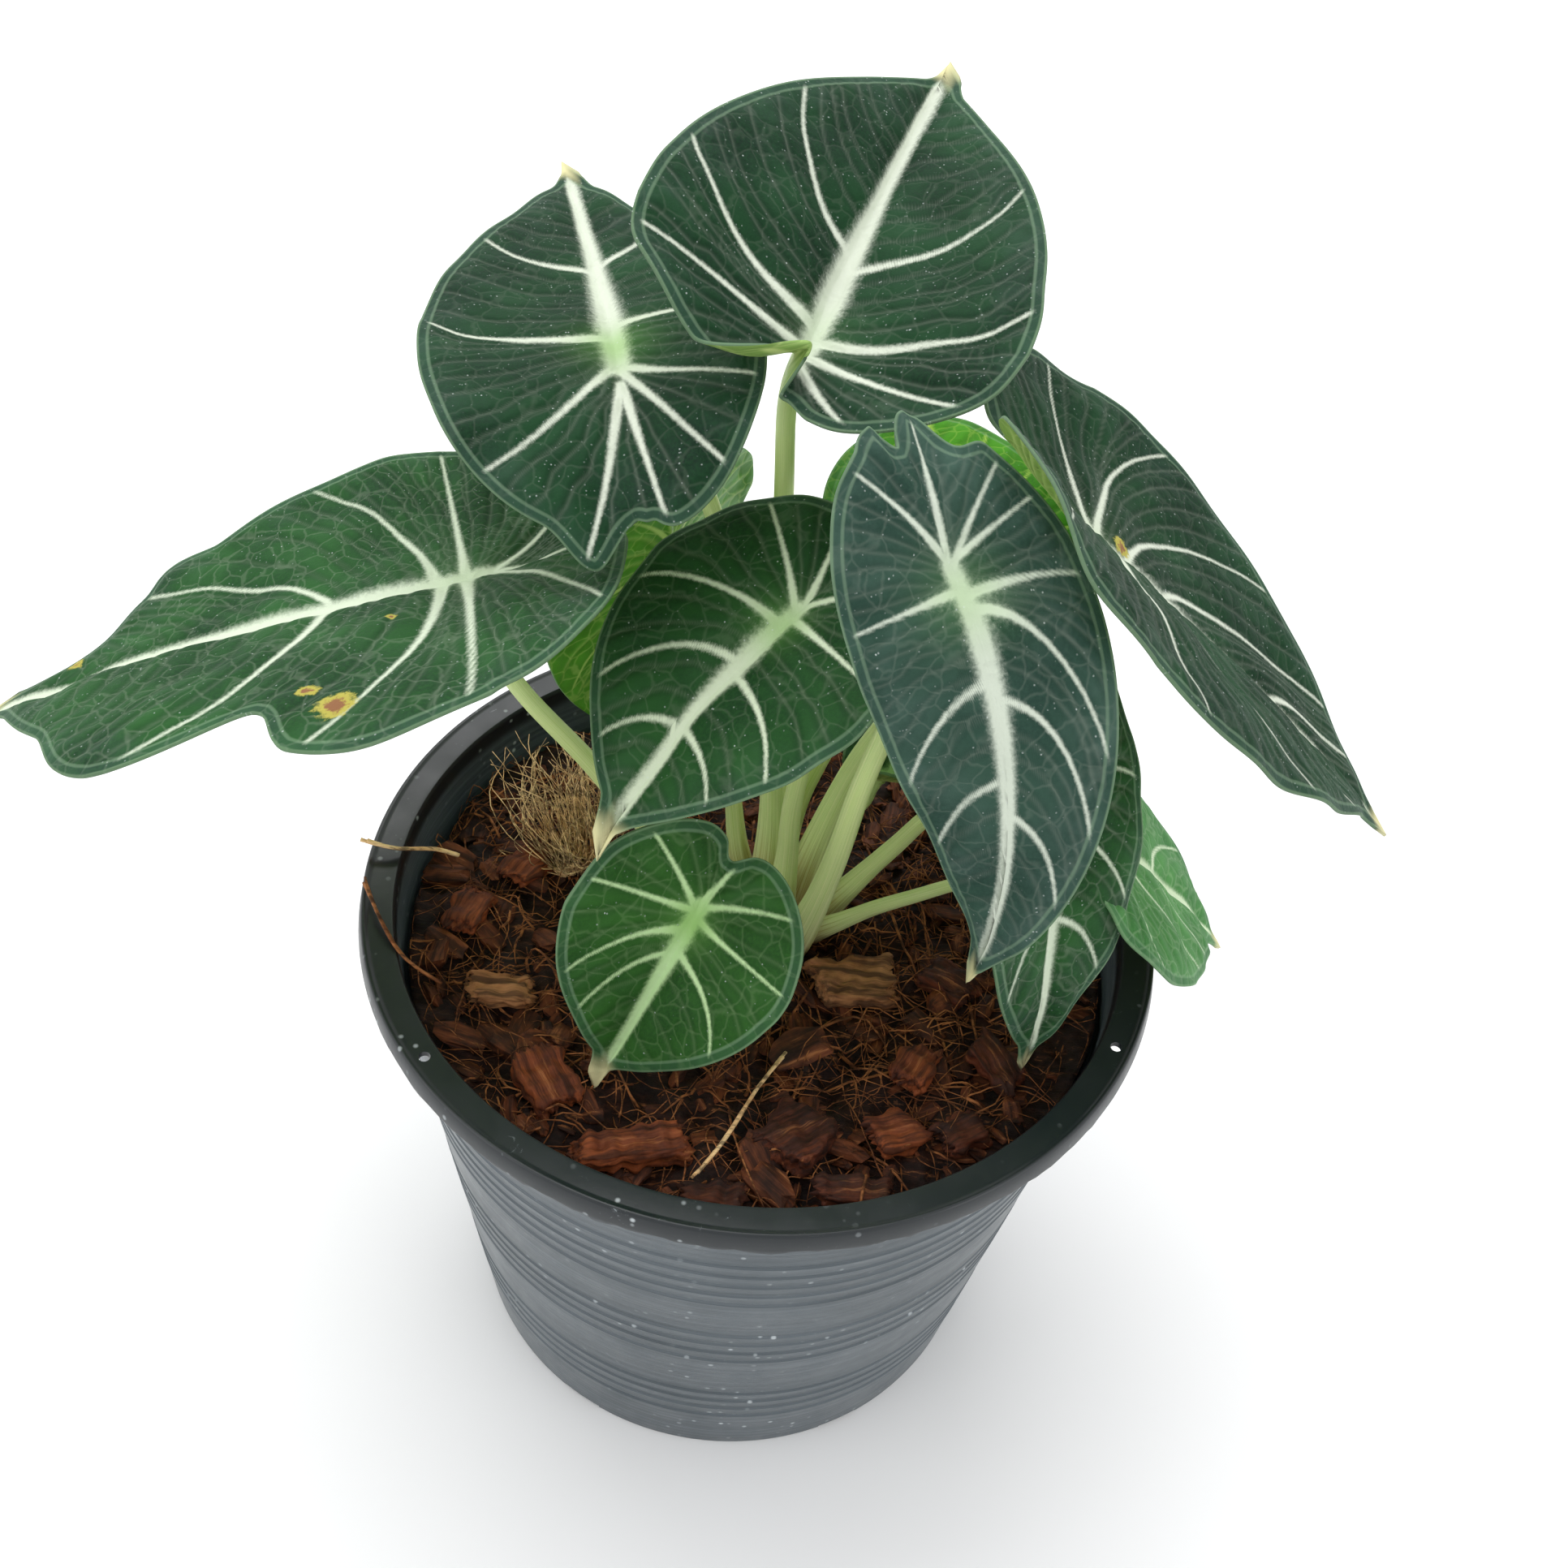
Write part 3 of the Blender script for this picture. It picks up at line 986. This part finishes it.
def makeBed():
    h = huskShape
    deselectAll()
    bpy.ops.mesh.primitive_grid_add(x_subdivisions=h["cells"], y_subdivisions=h["cells"], size=2)
    bed = bpy.context.object
    bed.name = "huskBed"
    x, y = readPoints(bed.data)[:, :2].T
    longest = np.maximum(np.abs(x), np.abs(y))
    scale = h["radius"] * longest / np.maximum(np.hypot(x, y), 1e-9)
    flat = np.stack((x * scale, y * scale), -1)
    writePoints(bed.data, np.column_stack((flat, bedHeight(flat))) * mm)
    makeActive(bed)
    bpy.ops.object.mode_set(mode="EDIT")
    bpy.ops.mesh.select_all(action="SELECT")
    bpy.ops.mesh.extrude_region_move()
    bpy.ops.object.mode_set(mode="OBJECT")
    points = readPoints(bed.data)
    lower = np.zeros(len(bed.data.vertices), bool)
    bed.data.vertices.foreach_get("select", lower)
    shrink = h["baseRadius"] / h["radius"]
    points[lower] = points[lower] * (shrink, shrink, 0) + (0, 0, h["floor"] * mm)
    writePoints(bed.data, points)
    closeUp(bed)
    return bed


def makeHuskGroup():  # split, fibrous coconut husk, streaked along its grain
    tree, given, made = newGroup("huskGrain", (("Place", "Vector", None), ("Dark", "Color", None),
                                               ("Light", "Color", None), ("Wet", "Float", 0.5)),
                                 (("Color", "Color"), ("Roughness", "Float"), ("Height", "Float")))
    grain = {"Vector": given["Place"], "Scale": (60.0, 700.0, 700.0)}
    along = addNode(tree, "ShaderNodeMapping", grain).outputs[0]
    streak = noiseAt(tree, along, 1.0, 5.0, 0.65)
    broad = noiseAt(tree, given["Place"], 120.0, 4.0, 0.6)
    base = blendColours(tree, ramp(tree, broad, 0.3, 0.68), given["Dark"], given["Light"])
    base = blendColours(tree, ramp(tree, streak, 0.42, 0.62, 0.0, 0.75), base,
                        (0.005, 0.0015, 0.001, 1))
    bright = times(tree, ramp(tree, streak, 0.28, 0.42, 1.0, 0.0), 0.55)
    base = blendColours(tree, bright, base, (0.50, 0.19, 0.065, 1))
    tree.links.new(base, made["Color"])
    tree.links.new(calc(tree, "ADD", 0.55, times(tree, streak, 0.35)), made["Roughness"])
    tree.links.new(calc(tree, "ADD", streak, times(tree, broad, 0.6)), made["Height"])
    return tree


huskGrain = makeHuskGroup()


def makeHusk(name, place, dark, light, bump):
    material, tree, shader = newMaterial(name)
    where = readAttribute(tree, place, "Vector") if place else objectPlace(tree)
    found = useGroup(tree, huskGrain, {"Place": where, "Dark": dark, "Light": light})
    tree.links.new(found["Color"], shader.inputs["Base Color"])
    tree.links.new(found["Roughness"], shader.inputs["Roughness"])
    bumpInto(tree, shader, found["Height"], bump, 0.9)
    shader.inputs["Specular IOR Level"].default_value = 0.3
    return material


def refineChip(number, node, material):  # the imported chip, made fibrous along its grain
    source = frame["nodes"][node]
    chip = source.copy()
    chip.data = source.data.copy()
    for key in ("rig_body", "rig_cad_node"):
        if key in chip:
            del chip[key]
    chip.parent = None
    chip.name = f"chip{number:02d}"
    bpy.context.scene.collection.objects.link(chip)
    closeUp(chip)
    fine = chip.modifiers.new("fine", "REMESH")
    fine.mode = "VOXEL"
    fine.voxel_size = 0.42 * mm
    applyModifier(chip, fine)
    mesh = chip.data
    points = readPoints(mesh)
    middle = points.mean(0)
    axes = np.linalg.eigh(np.cov((points - middle).T))[1]
    local = (points - middle) @ axes[:, ::-1] / mm   # long, broad, thin
    ridges = 0.45 * wobble(local * (0.12, 1, 1), 1.5, number)
    ridges += 0.3 * wobble(local * (0.2, 1, 1), 0.8, number + 50)
    ragged = 0.7 * wobble(local * (1, 0.8, 0.8), 5.0, number + 90)
    reach = np.abs(local[:, 0])
    ends = smoothStep(reach, 0.72 * reach.max(), reach.max())
    frayed = 1.1 * wobble(local * (0.05, 1, 1), 1.2, number + 120) * ends
    push = (ridges * 0.55 + ragged * 0.8)[:, None] * readNormals(mesh) + np.outer(
        frayed * np.sign(local[:, 0]), axes[:, 2])
    writePoints(mesh, points + push * mm)
    addVector(mesh, "grain", local * mm)
    mesh.materials.clear()
    mesh.materials.append(material)
    finishPiece(chip, (node,))


def makeCrumbs(material, rng):
    # one small split block, copied over the bed with its own turn and size
    h = huskShape
    gathered = bmesh.new()
    grain = gathered.verts.layers.float_vector.new("grain")
    for number in range(h["crumbs"]):
        distance = h["radius"] * 0.95 * math.sqrt(rng.uniform(0.0, 1))
        angle = rng.uniform(0, math.tau)
        x, y = distance * math.cos(angle), distance * math.sin(angle)
        big = rng.random() < 0.22
        long = rng.uniform(5, 11) if big else rng.uniform(2, 6)
        size = (long, long * rng.uniform(0.3, 0.75), long * rng.uniform(0.18, 0.4))
        turn = Matrix.Rotation(rng.uniform(0, math.tau), 4, "Z")
        tilt = Matrix.Rotation(rng.gauss(0, 0.35), 4, "X") @ Matrix.Rotation(rng.gauss(0, 0.3), 4, "Y")
        base = float(bedHeight(np.array(((x, y),)))[0])
        move = Matrix.Translation(Vector((x, y, base + size[2] * 0.35)) * mm)
        verts = bmesh.ops.create_icosphere(gathered, subdivisions=2, radius=0.5)["verts"]
        offset = Vector((rng.uniform(-1, 1), rng.uniform(-1, 1), rng.uniform(-1, 1))) * 0.05
        for vert in verts:
            rounded = vert.co * (0.5 / max(map(abs, vert.co))) ** 0.65   # boxy, with soft corners
            jog = Vector((rng.uniform(-1, 1), rng.uniform(-1, 1), rng.uniform(-1, 1))) * 0.10
            local = Vector([(rounded + jog)[axis] * size[axis] for axis in range(3)])
            vert[grain] = local * mm + offset
            vert.co = (move @ turn @ tilt) @ (local * mm)
            reach = math.hypot(vert.co.x, vert.co.y)
            limit = (h["radius"] + 0.6) * mm
            if reach > limit:
                vert.co.x *= limit / reach
                vert.co.y *= limit / reach
    mesh = bpy.data.meshes.new("huskCrumbs")
    gathered.to_mesh(mesh)
    gathered.free()
    crumbs = bpy.data.objects.new("huskCrumbs", mesh)
    bpy.context.scene.collection.objects.link(crumbs)
    mesh.materials.append(material)
    return crumbs


def threads(name, strands, material, sides=0):
    # strands: lists of (x, y, z, radius) in mm
    curve = bpy.data.curves.new(name, "CURVE")
    curve.dimensions = "3D"
    curve.bevel_depth = mm
    curve.bevel_resolution = sides
    curve.use_fill_caps = True
    for strand in strands:
        spline = curve.splines.new("POLY")
        spline.points.add(len(strand) - 1)
        for point, (x, y, z, radius) in zip(spline.points, strand):
            point.co = (x * mm, y * mm, z * mm, 1)
            point.radius = radius
    piece = bpy.data.objects.new(name, curve)
    bpy.context.scene.collection.objects.link(piece)
    makeActive(piece)
    bpy.ops.object.convert(target="MESH")
    piece = bpy.context.object
    closeUp(piece)
    piece.data.materials.clear()
    piece.data.materials.append(material)
    return piece


def looseFibre(rng):
    h = huskShape
    distance = h["radius"] * 0.93 * math.sqrt(rng.uniform(0.02, 1))
    angle = rng.uniform(0, math.tau)
    x, y = distance * math.cos(angle), distance * math.sin(angle)
    heading = rng.uniform(0, math.tau)
    curl = rng.gauss(0, 0.12)
    length = rng.uniform(6, 16) if rng.random() < 0.7 else rng.uniform(16, 34)
    steps = 8
    lift = rng.uniform(0.3, 2.2) + (rng.uniform(0, 4) if rng.random() < 0.15 else 0)
    tilt = rng.gauss(0, 1.2)
    thick = rng.uniform(0.09, 0.2) if rng.random() < 0.8 else rng.uniform(0.2, 0.38)
    strand = []
    for step in range(steps):
        t = step / (steps - 1)
        x += math.cos(heading) * length / steps
        y += math.sin(heading) * length / steps
        heading += curl + rng.gauss(0, 0.08)
        reach = math.hypot(x, y)
        if reach > 66.5:
            x, y = x * 66.5 / reach, y * 66.5 / reach
        ground = float(bedHeight(np.array(((x, y),)))[0])
        z = max(ground + 0.3, ground + 0.9 + lift * math.sin(math.pi * t) + tilt * (t - 0.5) * 2)
        strand.append((x, y, z, thick * (1 - 0.6 * t)))
    return strand


def tuftFibre(rng):  # fibres fan out from the foot and curl at their ends
    foot, top = map(Vector, huskShape["tuftEnds"])
    widths = huskShape["tuftWidths"]
    up = top - foot
    side = up.cross(Vector((0, 0, 1))).normalized()
    spread = rng.uniform(-1, 1)
    start = foot + side * spread * widths[0] / 2 + Vector((0, 0, rng.uniform(-2, 1)))
    fan = spread * widths[1] / 2 + rng.gauss(0, 3.0)
    end = foot + up * rng.uniform(0.35, 1.25) + side * fan + Vector((0, 0, rng.gauss(0, 2.5)))
    bend = Vector((rng.gauss(0, 3.2), rng.gauss(0, 3.2), rng.uniform(0, 4)))
    curl = Vector((rng.gauss(0, 1.6), rng.gauss(0, 1.6), rng.gauss(0, 1.2)))
    phase = rng.uniform(0, math.tau)
    strand = []
    for step in range(11):
        t = step / 10
        place = start.lerp(end, t) + bend * math.sin(math.pi * t) + curl * math.sin(phase + 7 * t) * t
        strand.append((place.x, place.y, max(place.z, 101.5), rng.uniform(0.09, 0.19) * (1.15 - 0.7 * t)))
    return strand


def bundle(route, radius, count, rng, spread=1.0, steps=26):  # a stick made of a few twisted strands
    path = curveThrough(route, steps)
    strands = []
    for number in range(count):
        phase = rng.uniform(0, math.tau)
        off = radius * spread * rng.uniform(0.2, 0.8)
        start = rng.randint(0, 3)
        stop = steps - rng.randint(0, 4)
        strand = []
        for step in range(start, stop):
            x, y, z = path[step]
            turn = phase + step * 0.22
            t = step / (steps - 1)
            fray = 1 + 1.4 * max(0.0, abs(t - 0.5) - 0.3) / 0.2
            strand.append((x + off * math.cos(turn) * 0.6 * fray, y + off * math.cos(turn + 1.3) * fray,
                           z + off * math.sin(turn) * fray, radius * rng.uniform(0.5, 0.62)))
        strands.append(strand)
    return strands


print("making mix and husk")
rng = random.Random(huskShape["seed"])
bedSoil = makeHusk("bedSoil", None, (0.006, 0.002, 0.001, 1), (0.040, 0.011, 0.004, 1), 0.0008)
chipBarks = [makeHusk("chipBark", "grain", (0.075, 0.016, 0.005, 1), (0.300, 0.072, 0.018, 1), 0.0003),
             makeHusk("chipBarkDark", "grain", (0.022, 0.006, 0.002, 1), (0.130, 0.030, 0.010, 1), 0.0003),
             makeHusk("chipWood", "grain", (0.170, 0.062, 0.020, 1), (0.420, 0.190, 0.075, 1), 0.0003)]
crumbBark = makeHusk("crumbBark", "grain", (0.026, 0.007, 0.002, 1), (0.170, 0.045, 0.013, 1), 0.0003)
fibreBrown = makeHusk("fibreBrown", None, (0.150, 0.042, 0.010, 1), (0.420, 0.160, 0.050, 1), 0.0001)
fibrePale = makeHusk("fibrePale", None, (0.620, 0.350, 0.140, 1), (0.850, 0.600, 0.310, 1), 0.0001)
bed = makeBed()
bed.data.materials.append(bedSoil)
finishPiece(bed, ("potting_mix",))
chipNodes = sorted(name for name in frame["nodes"] if name.startswith("husk_chip_"))
for number, node in enumerate(chipNodes, 1):
    kind = 2 if number in huskShape["woodChips"] else number % 2
    refineChip(number, node, chipBarks[kind])
crumbs = makeCrumbs(crumbBark, rng)
finishPiece(crumbs, smooth=False)
fibres = threads("huskFibres", [looseFibre(rng) for _ in range(huskShape["fibres"])], fibreBrown)
finishPiece(fibres)
tuftStrands = [tuftFibre(rng) for _ in range(huskShape["tuftFibres"])]
tuft = threads("paleTuft", tuftStrands, fibrePale)
finishPiece(tuft, ("fibre_tuft",))
strandRoutes = {
    "twig": (0.55, 3, fibrePale, ((9, -31, 109.5), (3, -42, 109.5), (-2, -54, 109.5), (-6, -62, 110))),
    "rimStick": (0.7, 4, fibrePale, ((-77, 0, 116.6), (-70, -1, 116.0), (-63, 2, 113.5), (-57, 3, 110.5))),
    "rimFibre": (0.45, 4, fibreBrown, ((-74.5, -9, 115.6), (-69, -18, 115.4), (-63, -25, 113.5),
                                       (-54, -28, 109))),
}
for (name, (radius, count, material, route)), node in zip(strandRoutes.items(),
                                                          ("twig", "rim_stick", "rim_fibre")):
    piece = threads(name + "Strands", bundle(route, radius, count, rng), material, sides=1)
    finishPiece(piece, (node,))


# the crown that the stalks rise from

def makeCrown():
    deselectAll()
    bpy.ops.mesh.primitive_uv_sphere_add(segments=72, ring_count=40, radius=stalkShape["crownRadius"] * mm)
    crown = bpy.context.object
    crown.name = "crown"
    points = readPoints(crown.data)
    local = points / mm
    big, small = stalkShape["crownLumps"]
    scars = stalkShape["scarDepth"] * np.sin(local[:, 2] * 2.6 + 0.7 * wobble(local, 9, 3))
    lumps = big * wobble(local, 7, 4) + small * wobble(local, 2.5, 8)
    points += readNormals(crown.data) * (scars + lumps)[:, None] * mm
    writePoints(crown.data, points + np.array(stalkShape["crownCentre"]) * mm)
    addVector(crown.data, "grain", points[:, (2, 0, 1)])
    return crown


crownBark = makeHusk("crownBark", "grain", (0.060, 0.022, 0.009, 1), (0.230, 0.110, 0.045, 1), 0.0004)
crown = makeCrown()
crown.data.materials.append(crownBark)
finishPiece(crown, ("corm",))


# floor, light and camera

sceneSettings = {
    "cameraAt": (0.0, -0.2384, 0.3794),
    "lens": 42.9,
    "down": 44.706,
    "aside": 0.401,
    "tilt": 6.670,
    "world": 0.95,
    # place, what it shines at, size and power
    "lights": {
        "topSoftbox": ((-0.25, 0.55, 1.3), (0, 0, 0.15), (1.4, 1.2), 13.0),
        "leftFill": ((-1.2, -0.5, 0.7), (0, 0, 0.12), (0.9, 0.9), 4.0),
        "rightFill": ((1.2, -0.6, 0.6), (0, 0, 0.12), (0.8, 0.9), 3.0),
    },
}


def makeFloor():
    deselectAll()
    bpy.ops.mesh.primitive_plane_add(size=8)
    floor = bpy.context.object
    floor.name = "floor"
    material, tree, shader = newMaterial("paleFloor")
    fineGrain = ramp(tree, noiseAt(tree, objectPlace(tree), 6.0, 3.0), 0.2, 0.8)
    tree.links.new(blendColours(tree, fineGrain, (0.86, 0.865, 0.87, 1), (0.88, 0.885, 0.89, 1)),
                   shader.inputs["Base Color"])
    shader.inputs["Roughness"].default_value = 0.7
    floor.data.materials.append(material)


def addSoftLight(name, place, target, size, power):
    light = bpy.data.lights.new(name, "AREA")
    light.shape = "RECTANGLE"
    light.size, light.size_y = size
    light.energy = power
    lamp = bpy.data.objects.new(name, light)
    bpy.context.scene.collection.objects.link(lamp)
    lamp.location = place
    lamp.rotation_euler = (Vector(target) - Vector(place)).to_track_quat("-Z", "Y").to_euler()


def makeCamera():
    s = sceneSettings
    down, aside, tilt = (math.radians(s[key]) for key in ("down", "aside", "tilt"))
    forward = Vector((math.sin(aside) * math.cos(down), math.cos(aside) * math.cos(down), -math.sin(down)))
    right = Vector((math.cos(aside), -math.sin(aside), 0))
    up = right.cross(forward)
    axisX = right * math.cos(tilt) + up * math.sin(tilt)
    axisY = up * math.cos(tilt) - right * math.sin(tilt)
    data = bpy.data.cameras.new("camera")
    data.sensor_width = 36
    data.lens = s["lens"]
    data.clip_start = 0.02
    camera = bpy.data.objects.new("camera", data)
    bpy.context.scene.collection.objects.link(camera)
    turned = Matrix((axisX, axisY, -forward)).transposed().to_4x4()
    camera.matrix_world = Matrix.Translation(s["cameraAt"]) @ turned
    bpy.context.scene.camera = camera


print("setting floor, light and camera")
makeFloor()
for name, (place, target, size, power) in sceneSettings["lights"].items():
    addSoftLight(name, place, target, size, power)
world = bpy.data.worlds.new("studio")
bpy.context.scene.world = world
world.use_nodes = True
background = world.node_tree.nodes["Background"].inputs
background["Color"].default_value = (1, 1, 1, 1)
background["Strength"].default_value = sceneSettings["world"]
bpy.context.scene.view_settings.view_transform = "Standard"
makeCamera()
